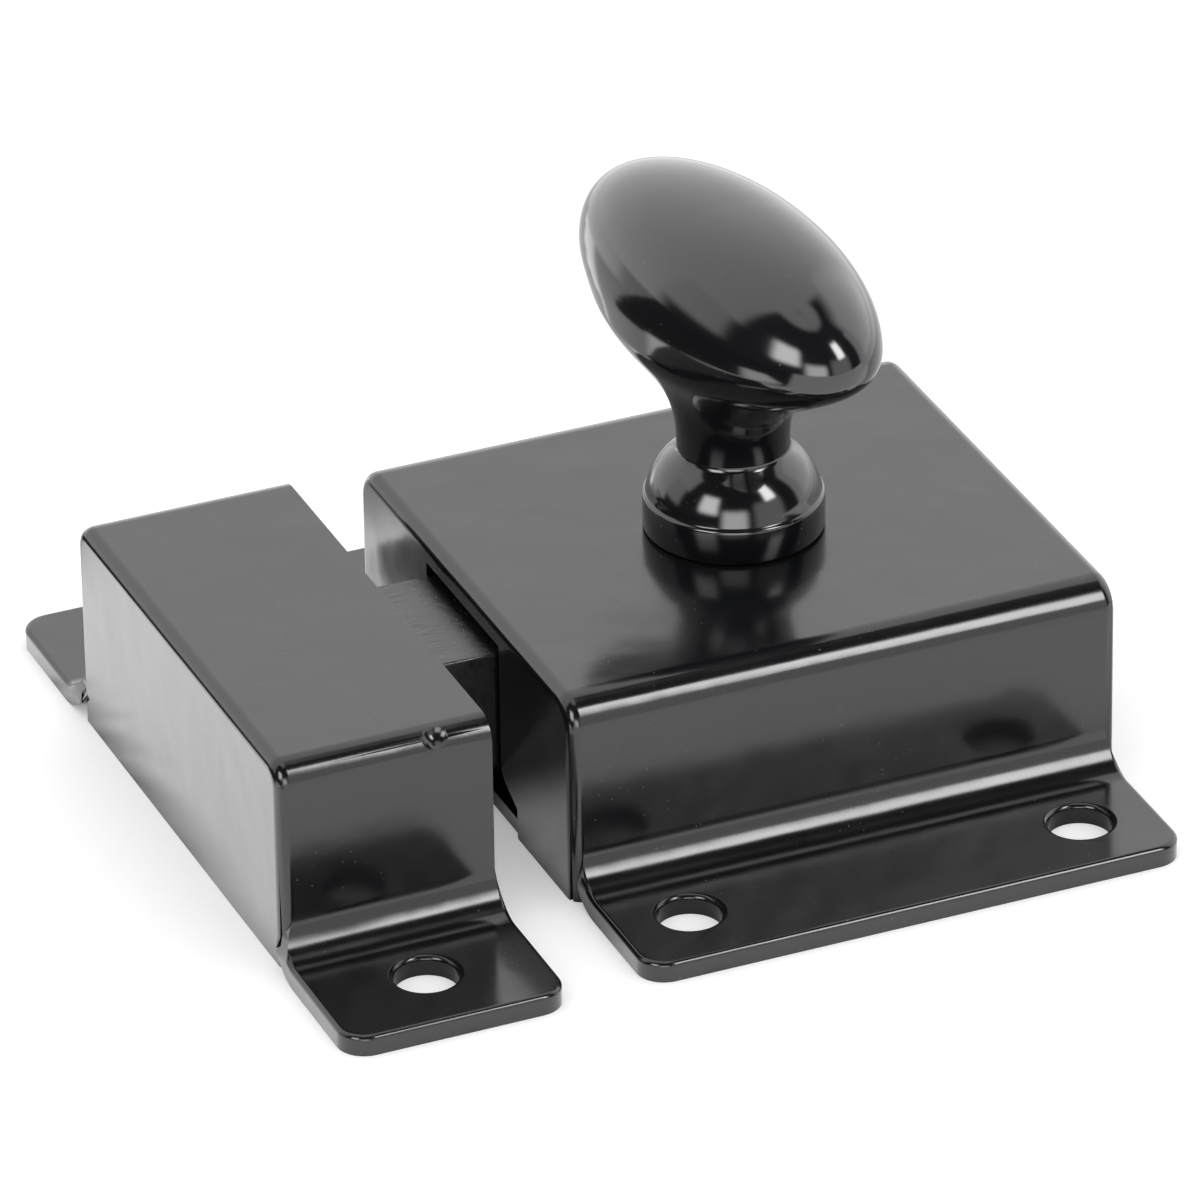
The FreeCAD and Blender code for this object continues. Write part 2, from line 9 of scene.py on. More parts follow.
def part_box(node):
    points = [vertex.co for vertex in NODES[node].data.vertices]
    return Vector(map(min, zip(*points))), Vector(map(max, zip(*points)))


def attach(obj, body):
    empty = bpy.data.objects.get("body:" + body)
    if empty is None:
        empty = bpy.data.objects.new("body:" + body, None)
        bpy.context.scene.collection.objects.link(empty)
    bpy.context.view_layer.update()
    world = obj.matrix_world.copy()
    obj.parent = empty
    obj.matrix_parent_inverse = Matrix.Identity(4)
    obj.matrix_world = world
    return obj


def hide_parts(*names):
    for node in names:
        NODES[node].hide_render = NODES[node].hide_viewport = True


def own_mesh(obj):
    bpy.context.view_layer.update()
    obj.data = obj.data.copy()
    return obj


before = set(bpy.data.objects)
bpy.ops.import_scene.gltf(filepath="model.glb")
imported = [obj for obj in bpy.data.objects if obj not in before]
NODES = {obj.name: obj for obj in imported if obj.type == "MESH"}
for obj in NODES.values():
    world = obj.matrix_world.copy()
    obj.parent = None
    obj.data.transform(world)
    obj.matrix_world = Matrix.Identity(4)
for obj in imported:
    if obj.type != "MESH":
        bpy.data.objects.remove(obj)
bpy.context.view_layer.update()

MM = 0.001

# The view: a long lens from the near left, looking down on the latch.
CAMERA_TARGET = Vector((-10.93, 0.0, 12.55)) * MM
CAMERA_AZIMUTH = math.radians(-22.71)
CAMERA_ELEVATION = math.radians(29.36)
CAMERA_ROLL = math.radians(-0.92)
CAMERA_DISTANCE = 801.9 * MM
CAMERA_LENS = 323.0


def place_camera():
    scene = bpy.context.scene
    back = Vector((math.sin(CAMERA_AZIMUTH) * math.cos(CAMERA_ELEVATION),
                   -math.cos(CAMERA_AZIMUTH) * math.cos(CAMERA_ELEVATION),
                   math.sin(CAMERA_ELEVATION)))
    level_right = (-back).cross(Vector((0, 0, 1))).normalized()
    level_up = level_right.cross(-back)
    right = level_right * math.cos(CAMERA_ROLL) + level_up * math.sin(CAMERA_ROLL)
    up = level_up * math.cos(CAMERA_ROLL) - level_right * math.sin(CAMERA_ROLL)
    data = bpy.data.cameras.new("view")
    data.sensor_width = 36.0
    data.lens = CAMERA_LENS
    data.clip_end = 20.0
    camera = bpy.data.objects.new("view", data)
    turn = Matrix((right, up, back)).transposed().to_4x4()
    camera.matrix_world = Matrix.Translation(CAMERA_TARGET + back * CAMERA_DISTANCE) @ turn
    scene.collection.objects.link(camera)
    scene.camera = camera
    scene.view_settings.view_transform = "Standard"


place_camera()


# Small helpers for node trees.

def add_node(tree, kind, **settings):
    node = tree.nodes.new(kind)
    for key, value in settings.items():
        setattr(node, key, value)
    return node


def link(tree, source, target):
    tree.links.new(source, target)


def set_inputs(node, **values):
    for key, value in values.items():
        node.inputs[key.replace("_", " ")].default_value = value


def maths(tree, operation, *terms):
    """A Math node; a term is a number or an output socket."""
    node = add_node(tree, "ShaderNodeMath", operation=operation)
    for socket, term in zip(node.inputs, terms):
        if isinstance(term, (int, float)):
            socket.default_value = term
        else:
            link(tree, term, socket)
    return node.outputs["Value"]


def noise(tree, coordinates, scale, detail=2.0, roughness=0.5, stretch=(1, 1, 1)):
    """A noise pattern in object space; scale counts waves in a metre."""
    mapping = add_node(tree, "ShaderNodeMapping")
    mapping.inputs["Scale"].default_value = stretch
    link(tree, coordinates, mapping.inputs["Vector"])
    pattern = add_node(tree, "ShaderNodeTexNoise")
    set_inputs(pattern, Scale=scale, Detail=detail, Roughness=roughness)
    link(tree, mapping.outputs["Vector"], pattern.inputs["Vector"])
    return pattern.outputs["Fac"]


def dots(tree, coordinates, scale, radius):
    """Small round dots strewn at random, about one to a cell; radius is a share of the cell."""
    cells = add_node(tree, "ShaderNodeTexVoronoi", feature="F1")
    set_inputs(cells, Scale=scale, Randomness=1.0)
    link(tree, coordinates, cells.inputs["Vector"])
    return map_range(tree, cells.outputs["Distance"], radius * 0.6, radius, 1, 0)


def map_range(tree, source, low, high, to_low, to_high):
    """Carries low to to_low and high to to_high, and no further."""
    node = add_node(tree, "ShaderNodeMapRange")
    set_inputs(node, From_Min=low, From_Max=high, To_Min=to_low, To_Max=to_high)
    link(tree, source, node.inputs["Value"])
    return node.outputs["Result"]


def mix_colours(tree, factor, first, second):
    """A colour is a tuple or an output socket."""
    node = add_node(tree, "ShaderNodeMix", data_type="RGBA")
    link(tree, factor, node.inputs["Factor"])
    for socket, colour in ((node.inputs["A"], first), (node.inputs["B"], second)):
        if isinstance(colour, tuple):
            socket.default_value = (*colour, 1)
        else:
            link(tree, colour, socket)
    return node.outputs["Result"]


def bump(tree, height, distance, under=None):
    """A bump normal; under is a normal that it lies on."""
    node = add_node(tree, "ShaderNodeBump")
    set_inputs(node, Strength=1.0, Distance=distance)
    link(tree, height, node.inputs["Height"])
    if under is not None:
        link(tree, under, node.inputs["Normal"])
    return node.outputs["Normal"]


def either(tree, switch, off, on):
    """One shader or the other, by a switch of 0 or 1."""
    node = add_node(tree, "ShaderNodeMixShader")
    for socket, source in zip(node.inputs, (switch, off, on)):
        link(tree, source, socket)
    return node.outputs["Shader"]


def new_material(name):
    material = bpy.data.materials.new(name)
    material.use_nodes = True
    tree = material.node_tree
    tree.nodes.clear()
    shader = add_node(tree, "ShaderNodeBsdfPrincipled")
    output = add_node(tree, "ShaderNodeOutputMaterial")
    link(tree, shader.outputs["BSDF"], output.inputs["Surface"])
    coordinates = add_node(tree, "ShaderNodeTexCoord").outputs["Object"]
    return material, tree, shader, coordinates


# Enamel: two blacks that cloud into each other, and the dust in the film. Waves or cells in a metre, depths
# in metres.
ENAMEL_BLACKS = (0.0040, 0.0043, 0.0052), (0.0078, 0.0080, 0.0088)
DUST_GREY = (0.13, 0.13, 0.125)
CLOUD_WAVES, SHEEN_WAVES, PATCH_WAVES = 60, 140, 170
FINE_DUST_CELLS, LINT_CELLS = 1500, 420
RIPPLE_WAVES, PEEL_WAVES, CAST_WAVES = 110, 900, 1100
RIPPLE_DEPTH, PEEL_DEPTH, CAST_DEPTH = 0.00009, 0.000003, 0.00007
STEEL_CLOUD_WAVES, MARK_WAVES, MARK_DEPTH = 120, 1500, 0.00002


def enamel(name, ripple=1.0, grain=0.0, gloss=0.15, index=1.5):
    """Black stoving enamel: a slight ripple, fine orange peel, and dust caught in the film."""
    material, tree, shader, coordinates = new_material(name)
    base = mix_colours(tree, noise(tree, coordinates, CLOUD_WAVES, 3), *ENAMEL_BLACKS)
    patches = map_range(tree, noise(tree, coordinates, PATCH_WAVES, 2), 0.50, 0.62, 0, 1)
    fine_dust = maths(tree, "MULTIPLY", dots(tree, coordinates, FINE_DUST_CELLS, 0.085), patches)
    lint = maths(tree, "MULTIPLY", dots(tree, coordinates, LINT_CELLS, 0.030), 0.8)
    dust = maths(tree, "MAXIMUM", fine_dust, lint)
    link(tree, mix_colours(tree, dust, base, DUST_GREY), shader.inputs["Base Color"])
    sheen_noise = noise(tree, coordinates, SHEEN_WAVES, 4)
    sheen = map_range(tree, sheen_noise, 0.3, 0.7, gloss * 0.85, gloss * 1.2)
    link(tree, maths(tree, "MAXIMUM", sheen, maths(tree, "MULTIPLY", dust, 0.6)), shader.inputs["Roughness"])
    normal = bump(tree, noise(tree, coordinates, RIPPLE_WAVES, 2), RIPPLE_DEPTH * ripple)
    normal = bump(tree, noise(tree, coordinates, PEEL_WAVES, 2), PEEL_DEPTH * ripple, normal)
    if grain:
        rough_cast = noise(tree, coordinates, CAST_WAVES, 6, 0.6, (0.5, 1.5, 1.0))
        normal = bump(tree, rough_cast, CAST_DEPTH * grain, normal)
    link(tree, normal, shader.inputs["Normal"])
    set_inputs(shader, IOR=index)
    return material


def plain_steel(name, colour, roughness, brushed):
    """Bare steel with fine marks; brushed stretches them, axis by axis."""
    material, tree, shader, coordinates = new_material(name)
    marks = noise(tree, coordinates, MARK_WAVES, 4, 0.6, brushed)
    clouds = noise(tree, coordinates, STEEL_CLOUD_WAVES, 3)
    darker = tuple(part * 0.72 for part in colour)
    link(tree, mix_colours(tree, clouds, darker, colour), shader.inputs["Base Color"])
    link(tree, map_range(tree, marks, 0.3, 0.7, roughness * 0.7, roughness * 1.4), shader.inputs["Roughness"])
    link(tree, bump(tree, marks, MARK_DEPTH), shader.inputs["Normal"])
    set_inputs(shader, Metallic=1.0)
    return material


CASE_ENAMEL = enamel("case_enamel")
KEEPER_ENAMEL = enamel("keeper_enamel")
PLATE_ENAMEL = enamel("plate_enamel", ripple=1.5)
KNOB_ENAMEL = enamel("knob_enamel", ripple=0.5, gloss=0.105, index=1.58)
BOLT_ENAMEL = enamel("bolt_enamel", ripple=1.0, grain=1.0, gloss=0.2)
BARE_STEEL = plain_steel("bare_steel", (0.40, 0.40, 0.41), 0.32, (0.2, 1, 1))
SPRING_STEEL = plain_steel("spring_steel", (0.30, 0.30, 0.31), 0.28, (1, 1, 1))

FINISHES = {
    "case": CASE_ENAMEL,
    "keeper": KEEPER_ENAMEL,
    "back_plate": PLATE_ENAMEL,
    "bolt": BOLT_ENAMEL,
    "knob": KNOB_ENAMEL,
    "spindle": BARE_STEEL,
    "cam": BARE_STEEL,
    "cam_pin": BARE_STEEL,
    "thrust_washer": BARE_STEEL,
    "spring_peg": BARE_STEEL,
    "bolt_spring": SPRING_STEEL,
}


def dress_nodes():
    for name, finish in FINISHES.items():
        materials = NODES[name].data.materials
        materials.clear()
        materials.append(finish)


dress_nodes()


# The pieces.

def put_in_scene(name, mesh):
    piece = bpy.data.objects.new(name, mesh)
    bpy.context.scene.collection.objects.link(piece)
    return piece


def settled(holder):
    """The holder's mesh with its modifiers worked in; the holder itself goes."""
    view = bpy.context.evaluated_depsgraph_get()
    view.update()
    mesh = bpy.data.meshes.new_from_object(holder.evaluated_get(view), preserve_all_data_layers=True,
                                           depsgraph=view)
    bpy.data.objects.remove(holder)
    return mesh


def geometry_tree(name, sockets):
    tree = bpy.data.node_groups.new(name, "GeometryNodeTree")
    tree.interface.new_socket("Geometry", in_out="INPUT", socket_type="NodeSocketGeometry")
    for socket, kind in sockets.items():
        tree.interface.new_socket(socket, in_out="INPUT", socket_type=kind)
    tree.interface.new_socket("Geometry", in_out="OUTPUT", socket_type="NodeSocketGeometry")
    return tree, add_node(tree, "NodeGroupInput"), add_node(tree, "NodeGroupOutput")


def end_tree(tree, source, given, made):
    """Ends a geometry tree: instances made real and the material set."""
    real = add_node(tree, "GeometryNodeRealizeInstances")
    link(tree, source, real.inputs["Geometry"])
    painted = add_node(tree, "GeometryNodeSetMaterial")
    link(tree, real.outputs["Geometry"], painted.inputs["Geometry"])
    link(tree, given.outputs["Material"], painted.inputs["Material"])
    link(tree, painted.outputs["Geometry"], made.inputs["Geometry"])
    return tree


def grown(name, base, tree, values):
    """A piece grown by a geometry tree from a base mesh."""
    holder = put_in_scene(name + "_base", base)
    modifier = holder.modifiers.new("rule", "NODES")
    modifier.node_group = tree
    for item in tree.interface.items_tree:
        if item.in_out == "INPUT" and item.name in values:
            modifier[item.identifier] = values[item.name]
    mesh = settled(holder)
    mesh.name = name
    return put_in_scene(name, mesh)


def fit_out(piece, node, body):
    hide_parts(node)
    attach(piece, body)


# The knob: rings that grow from the round waist into a flat oval head. Lengths in mm, levels over the door.
KNOB_BORE, KNOB_BORE_END = 2.45, 26.85
KNOB_WAIST, KNOB_WAIST_TOP = 4.25, 23.3
# The head across and along: half width, level where it is widest, fullness of the dome above, and the
# power and haste of the flare below.
HEAD_WIDEST = 35.0
HEAD_ACROSS = (8.3, HEAD_WIDEST, 2.25, 1.7, 1.19)
HEAD_ALONG = (17.07, 36.1, 2.11, 1.4, 1.0)
HEAD_TOP = 43.33
HEAD_TURN = math.radians(6.2)
# The head sits a little to one side, and its far end reaches out and lifts, as shares of the way along.
HEAD_ASIDE, HEAD_REACH, HEAD_LEAN = -0.10, 0.035, 0.016
FLARE_RINGS, DOME_RINGS, KNOB_SIDES = 44, 56, 180
KNOB_SHARP = math.radians(50)
# The foot from the bore outwards and up to the waist: radius and level.
FOOT_PROFILE = (
    (2.45, 16.70), (6.60, 16.70), (6.76, 16.76), (6.84, 16.92), (6.85, 19.30), (6.82, 19.47), (6.73, 19.57),
    (6.64, 19.62), (6.59, 19.72), (6.48, 20.2), (6.28, 20.75), (6.02, 21.3), (5.70, 21.8), (5.33, 22.25),
    (4.96, 22.6), (4.66, 22.86), (4.44, 23.12),
)


def swell(share):
    """A smooth step from 0 to 1."""
    share = min(max(share, 0.0), 1.0)
    return share * share * (3 - 2 * share)


def head_half(level, full, widest_level, fullness, flare, early):
    """Half width of the head at a level: a flare from the waist, then a dome."""
    if level <= widest_level:
        share = ((level - KNOB_WAIST_TOP) / (widest_level - KNOB_WAIST_TOP)) ** flare
        return KNOB_WAIST + (full - KNOB_WAIST) * swell(early * share)
    rise = (level - widest_level) / (HEAD_TOP - widest_level)
    return full * max(0.0, 1 - rise ** fullness) ** (1 / fullness)


def knob_profile():
    """The rings of the bore, and those round the foot and up to the crown: half across, half along, level."""
    bore = [(0.0, 0.0, KNOB_BORE_END), (KNOB_BORE, KNOB_BORE, KNOB_BORE_END)]
    foot = [(radius, radius, level) for radius, level in FOOT_PROFILE]
    levels = [KNOB_WAIST_TOP + (HEAD_WIDEST - KNOB_WAIST_TOP) * step / FLARE_RINGS
              for step in range(FLARE_RINGS)]
    levels += [HEAD_WIDEST + (HEAD_TOP - HEAD_WIDEST) * math.sin(math.pi / 2 * step / DOME_RINGS)
               for step in range(DOME_RINGS + 1)]
    head = [(head_half(level, *HEAD_ACROSS), head_half(level, *HEAD_ALONG), level) for level in levels]
    return bore, foot + head


def knob_tree():
    """Bends a flat grid into rings: each row takes its half widths and level from the profile's points."""
    tree, given, made = geometry_tree("knob_rings", {
        "Rings": "NodeSocketInt", "Sides": "NodeSocketInt", "Turn": "NodeSocketFloat",
        "Aside": "NodeSocketFloat", "Reach": "NodeSocketFloat", "Lean": "NodeSocketFloat",
        "Material": "NodeSocketMaterial"})
    grid = add_node(tree, "GeometryNodeMeshGrid")
    set_inputs(grid, Size_X=1.0, Size_Y=1.0)
    link(tree, given.outputs["Rings"], grid.inputs["Vertices X"])
    link(tree, maths(tree, "ADD", given.outputs["Sides"], 1), grid.inputs["Vertices Y"])
    place = add_node(tree, "ShaderNodeSeparateXYZ")
    link(tree, add_node(tree, "GeometryNodeInputPosition").outputs["Position"], place.inputs["Vector"])
    row = maths(tree, "ROUND", maths(tree, "MULTIPLY", maths(tree, "ADD", place.outputs["X"], 0.5),
                                     maths(tree, "SUBTRACT", given.outputs["Rings"], 1)))
    around = maths(tree, "MULTIPLY", maths(tree, "ADD", place.outputs["Y"], 0.5), 2 * math.pi)

    def of_ring(field, data_type):
        sample = add_node(tree, "GeometryNodeSampleIndex", data_type=data_type, domain="POINT")
        link(tree, given.outputs["Geometry"], sample.inputs["Geometry"])
        link(tree, field, sample.inputs["Value"])
        link(tree, row, sample.inputs["Index"])
        return sample.outputs["Value"]

    ring = add_node(tree, "ShaderNodeSeparateXYZ")
    link(tree, of_ring(add_node(tree, "GeometryNodeInputPosition").outputs["Position"], "FLOAT_VECTOR"),
         ring.inputs["Vector"])
    head_share = add_node(tree, "GeometryNodeInputNamedAttribute", data_type="FLOAT")
    head_share.inputs["Name"].default_value = "head"
    head = of_ring(head_share.outputs["Attribute"], "FLOAT")
    joined = add_node(tree, "ShaderNodeCombineXYZ")
    for axis, turn in (("X", "COSINE"), ("Y", "SINE")):
        reach = maths(tree, "MULTIPLY", maths(tree, turn, around), ring.outputs[axis])
        link(tree, reach, joined.inputs[axis])
    link(tree, ring.outputs["Z"], joined.inputs["Z"])
    turned = add_node(tree, "ShaderNodeVectorRotate", rotation_type="Z_AXIS")
    link(tree, joined.outputs["Vector"], turned.inputs["Vector"])
    link(tree, given.outputs["Turn"], turned.inputs["Angle"])
    oval = add_node(tree, "ShaderNodeSeparateXYZ")
    link(tree, turned.outputs["Vector"], oval.inputs["Vector"])
    far = maths(tree, "MAXIMUM", oval.outputs["Y"], 0.0)
    set_over = add_node(tree, "ShaderNodeCombineXYZ")
    for axis, amount in (("X", given.outputs["Aside"]),
                         ("Y", maths(tree, "MULTIPLY", far, given.outputs["Reach"])),
                         ("Z", maths(tree, "MULTIPLY", far, given.outputs["Lean"]))):
        link(tree, maths(tree, "MULTIPLY", amount, head), set_over.inputs[axis])
    shaped = add_node(tree, "GeometryNodeSetPosition")
    link(tree, grid.outputs["Mesh"], shaped.inputs["Geometry"])
    link(tree, turned.outputs["Vector"], shaped.inputs["Position"])
    link(tree, set_over.outputs["Vector"], shaped.inputs["Offset"])
    welded = add_node(tree, "GeometryNodeMergeByDistance")
    welded.inputs["Distance"].default_value = 2e-6
    link(tree, shaped.outputs["Geometry"], welded.inputs["Geometry"])
    smooth = add_node(tree, "GeometryNodeSetShadeSmooth")
    link(tree, welded.outputs["Geometry"], smooth.inputs["Geometry"])
    return end_tree(tree, smooth.outputs["Geometry"], given, made)


def faces_outward(mesh):
    """Turns every face outward and leaves the mesh closed."""
    work = bmesh.new()
    work.from_mesh(mesh)
    bmesh.ops.remove_doubles(work, verts=work.verts, dist=1e-7)
    bmesh.ops.recalc_face_normals(work, faces=work.faces)
    work.to_mesh(mesh)
    work.free()


def make_knob():
    bore, outside = knob_profile()
    rings = bore + outside
    line = bpy.data.meshes.new("knob_profile")
    line.from_pydata([Vector(ring) * MM for ring in rings], [(i, i + 1) for i in range(len(rings) - 1)], [])
    head = line.attributes.new("head", "FLOAT", "POINT")
    for index, (_, _, level) in enumerate(outside, len(bore)):
        head.data[index].value = swell((level - KNOB_WAIST_TOP) / (HEAD_WIDEST - KNOB_WAIST_TOP))
    knob = grown("knob_casting", line, knob_tree(), {
        "Rings": len(rings), "Sides": KNOB_SIDES, "Turn": HEAD_TURN, "Aside": HEAD_ASIDE * MM,
        "Reach": HEAD_REACH, "Lean": HEAD_LEAN, "Material": KNOB_ENAMEL})
    faces_outward(knob.data)
    knob.data.set_sharp_from_angle(angle=KNOB_SHARP)
    fit_out(knob, "knob", "knob")


# The spring: round wire wound between the bolt's cross-bar and the peg's seat. Radius and wire in mm.
SPRING_RADIUS, SPRING_WIRE, SPRING_TURNS = 2.5, 0.6, 5.0
SPRING_STEPS, WIRE_SIDES = 48, 20


def spring_tree():
    """Winds a round wire along a spiral and lays it along the bolt."""
    tree, given, made = geometry_tree("wound_wire", {
        "Turns": "NodeSocketFloat", "Radius": "NodeSocketFloat", "Length": "NodeSocketFloat",
        "Wire": "NodeSocketFloat", "Place": "NodeSocketVector", "Material": "NodeSocketMaterial"})
    spiral = add_node(tree, "GeometryNodeCurveSpiral")
    set_inputs(spiral, Resolution=SPRING_STEPS)
    for source, target in (("Turns", "Rotations"), ("Radius", "Start Radius"), ("Radius", "End Radius"),
                           ("Length", "Height")):
        link(tree, given.outputs[source], spiral.inputs[target])
    section = add_node(tree, "GeometryNodeCurvePrimitiveCircle")
    set_inputs(section, Resolution=WIRE_SIDES)
    link(tree, given.outputs["Wire"], section.inputs["Radius"])
    wire = add_node(tree, "GeometryNodeCurveToMesh")
    wire.inputs["Fill Caps"].default_value = True
    link(tree, spiral.outputs["Curve"], wire.inputs["Curve"])
    link(tree, section.outputs["Curve"], wire.inputs["Profile Curve"])
    laid = add_node(tree, "GeometryNodeTransform")
    laid.inputs["Rotation"].default_value = (0, math.pi / 2, 0)
    link(tree, wire.outputs["Mesh"], laid.inputs["Geometry"])
    link(tree, given.outputs["Place"], laid.inputs["Translation"])
    return end_tree(tree, laid.outputs["Geometry"], given, made)


def make_spring():
    low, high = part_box("bolt_spring")
    wire = SPRING_WIRE * MM / 2
    level = (low.z + high.z) / 2
    length = high.x - low.x - 2 * wire
    spring = grown("bolt_spring_wire", bpy.data.meshes.new("no_shape"), spring_tree(), {
        "Turns": SPRING_TURNS, "Radius": SPRING_RADIUS * MM, "Length": length, "Wire": wire,
        "Place": (low.x + wire, 0, level), "Material": SPRING_STEEL})
    faces_outward(spring.data)
    spring.data.shade_smooth()
    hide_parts("bolt_spring")
    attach(spring, "case")
    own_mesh(spring)


# Case and keeper: the folded sheets, with the seam left open where an end wall meets a long wall.
# Lengths in mm. A seam points out between the two walls, at a turn from the end wall's own direction.
SEAM_WIDTH, SEAM_DEPTH, SEAM_TURN = 0.22, 0.30, math.radians(28)
CORNER_RADIUS, SEAM_RIM, SEAM_LEAST = 1.0, 1.4, 0.01
CORNER_ASIDE = 19.4
CASE_CORNER, CASE_HEIGHT = 21.0, 16.6
KEEPER_CORNER, KEEPER_HEIGHT = -43.8, 16.9
SHEET_SHARP = math.radians(44)


def seam_cutters(name, corners, height):
    """Thin upright wedges, deep at the foot and running out towards the top."""
    work = bmesh.new()
    for centre_x, centre_y, side_x, side_y in corners:
        outward = Vector((side_x * math.cos(SEAM_TURN), side_y * math.sin(SEAM_TURN), 0))
        across = Vector((-outward.y, outward.x, 0))
        centre = Vector((centre_x, centre_y, 0))
        rows = []
        for level, share in ((-0.5, 1.1), (2.0, 1.0), (6.0, 0.55), (height - 6.0, 0.0)):
            tip = centre + outward * (CORNER_RADIUS - SEAM_DEPTH * share)
            rim = centre + outward * SEAM_RIM
            half = SEAM_WIDTH * (0.35 + 0.65 * share) * 1.2 * share + SEAM_LEAST
            rows.append([work.verts.new((point + Vector((0, 0, level))) * MM)
                         for point in (tip, rim - across * half, rim + across * half)])
        for below, above in zip(rows, rows[1:]):
            for index in range(3):
                following = (index + 1) % 3
                work.faces.new((below[index], below[following], above[following], above[index]))
        work.faces.new(rows[0])
        work.faces.new(rows[-1])
    bmesh.ops.recalc_face_normals(work, faces=work.faces)
    mesh = bpy.data.meshes.new(name)
    work.to_mesh(mesh)
    work.free()
    return put_in_scene(name, mesh)


def make_sheet(node, name, corners, height):
    """A merged copy of the folded sheet with its seams cut in and its flats kept even."""
    mesh = NODES[node].data.copy()
    work = bmesh.new()
    work.from_mesh(mesh)
    bmesh.ops.remove_doubles(work, verts=work.verts, dist=1e-6)
    work.to_mesh(mesh)
    work.free()
    if "custom_normal" in mesh.attributes:
        mesh.attributes.remove(mesh.attributes["custom_normal"])
    sheet = put_in_scene(name + "_blank", mesh)
    cutters = seam_cutters(name + "_seams", corners, height)
    cut = sheet.modifiers.new("seams", "BOOLEAN")
    cut.operation = "DIFFERENCE"
    cut.solver = "EXACT"
    cut.object = cutters
    seamed = settled(sheet)
    bpy.data.objects.remove(cutters)
    faces_outward(seamed)
    seamed.shade_smooth()
    seamed.set_sharp_from_angle(angle=SHEET_SHARP)
    blank = put_in_scene(name + "_seamed", seamed)
    weighted = blank.modifiers.new("flats", "WEIGHTED_NORMAL")
    weighted.keep_sharp = True
    weighted.weight = 90
    finished = settled(blank)
    finished.name = name
    finished.materials.clear()
    finished.materials.append(FINISHES[node])
    piece = put_in_scene(name, finished)
    fit_out(piece, node, "case")


make_knob()
make_spring()
make_sheet("case", "case_sheet",
           [(x * CASE_CORNER, y * CORNER_ASIDE, x, y) for x in (-1, 1) for y in (-1, 1)], CASE_HEIGHT)
make_sheet("keeper", "keeper_sheet",
           [(KEEPER_CORNER, y * CORNER_ASIDE, -1, y) for y in (-1, 1)], KEEPER_HEIGHT)


# The studio: white paper, a tent of soft light that only the gloss sees, and a world that lights the rest.
# Azimuth 0 is +Y, straight behind the latch, and 90 is +X. Angles are in degrees.

# Soft boxes of the tent: azimuths, elevations, brightness and the softness of their rims.
TENT = (
    ((-55, 112), (-12, 46), 1.86, 3),
    ((-80, -50), (8, 40), 1.6, 4),
    ((45, 104), (-12, 58), 2.4, 10),
    ((-84, 62), (32, 90), 1.86, 4),
    ((-180, 180), (73, 90), 1.8, 3),
    ((140, 157), (28, 53), 16.0, 3.5),
    ((136, 176), (-12, 30), 1.5, 6),
    ((-135, -109), (14, 41), 9.0, 5),
    ((-174, -142), (-2, 21), 6.0, 6),
)
TENT_RADIUS, TENT_DIM = 2.5, 0.05
TENT_FOOT, TENT_ROWS, TENT_ROW, TENT_COLUMNS, TENT_COLUMN = -12, 69, 1.5, 180, 2.0
POLE = 89.9

# The paper as all light sees it, the dark sheet that the gloss sees where shade is painted, and what the
# camera sees on top.
PAPER, PAPER_SHADED, PAPER_GLOW = 0.85, 0.02, 0.27
SHADED_BELOW = -0.1
ROOM_WHITE, ROOM_LIGHT, ROOM_GLOSS = 1.0, 1.15, 0.06
FAR = 1e6
NEAR_SCREWS, NEAR_SCREWS_Y, SCREW_SHADE = (-36.45, -15.7, 15.7), -27.35, 5.0


def box_share(value, low, high, soft):
    """1 inside the range, 0 outside, with a soft rim."""
    return swell(0.5 - max(low - value, value - high) / (2 * soft))


def tent_brightness(azimuth, elevation):
    level = TENT_DIM
    for (left, right), (low, high), bright, soft in TENT:
        middle, reach = (left + right) / 2, (right - left) / 2
        away = abs((azimuth - middle + 180) % 360 - 180)
        beside = box_share(away, -reach, reach, soft)
        level = max(level, bright * beside * box_share(elevation, low, high, soft))
    return level


def painted_table_glow(x, y):
    """Painted reflection and painted shade: the glow that the gloss sees on the lit paper, by place in mm;
    below 0 the gloss sees painted shade.
    """
    reach, azimuth = math.hypot(x, y), math.degrees(math.atan2(x, y))
    # Painted light: bright to the left of the case, and in front of both pieces.
    level = 1.65 * box_share(x, -FAR, -22.5, 1)
    level += (1.15 - level) * box_share(y, -FAR, -26, 6)
    # Painted shade: plain behind to the left, dimmer between the pieces, and plain under them.
    plain_from = -50 - 12 * box_share(reach, 110, FAR, 8)
    level *= 1 - box_share(azimuth, plain_from, -22, 2) * box_share(reach, 50, FAR, 5)
    level *= 1 - 0.65 * box_share(x, -45.5, -20, 1.5) * box_share(y, -26, 28, 2)
    level *= 1 - box_share(x, -45.5, 26, 1.5) * box_share(y, -4.5, 28, 4)
    # Painted shade far to the left, up to an edge that slants in the knob's gloss.
    edge = -56 + 1750 / max(reach, 60)
    level += (-0.9 - level) * box_share(reach, 84, FAR, 6) * box_share(azimuth, -128, edge, 3)
    # Painted light far behind, a painted bright patch to the left, and painted shade in the near screw holes.
    level += (0.75 - level) * box_share(reach, 180, FAR, 20) * box_share(azimuth, -38, 112, 3)
    level += (2.6 - level) * box_share(x, -165, -82, 14) * box_share(y, -56, -10, 8)
    hole = min(math.hypot(x - along, y - NEAR_SCREWS_Y) for along in NEAR_SCREWS)
    return level * (1 - box_share(hole, -SCREW_SHADE, SCREW_SHADE, 1))


def lit_mesh(name, verts, faces, levels):
    """A mesh of the set that carries its own brightness from point to point."""
    mesh = bpy.data.meshes.new(name)
    mesh.from_pydata(verts, [], faces)
    brightness = mesh.attributes.new("brightness", "FLOAT", "POINT")
    brightness.data.foreach_set("value", levels)
    return mesh


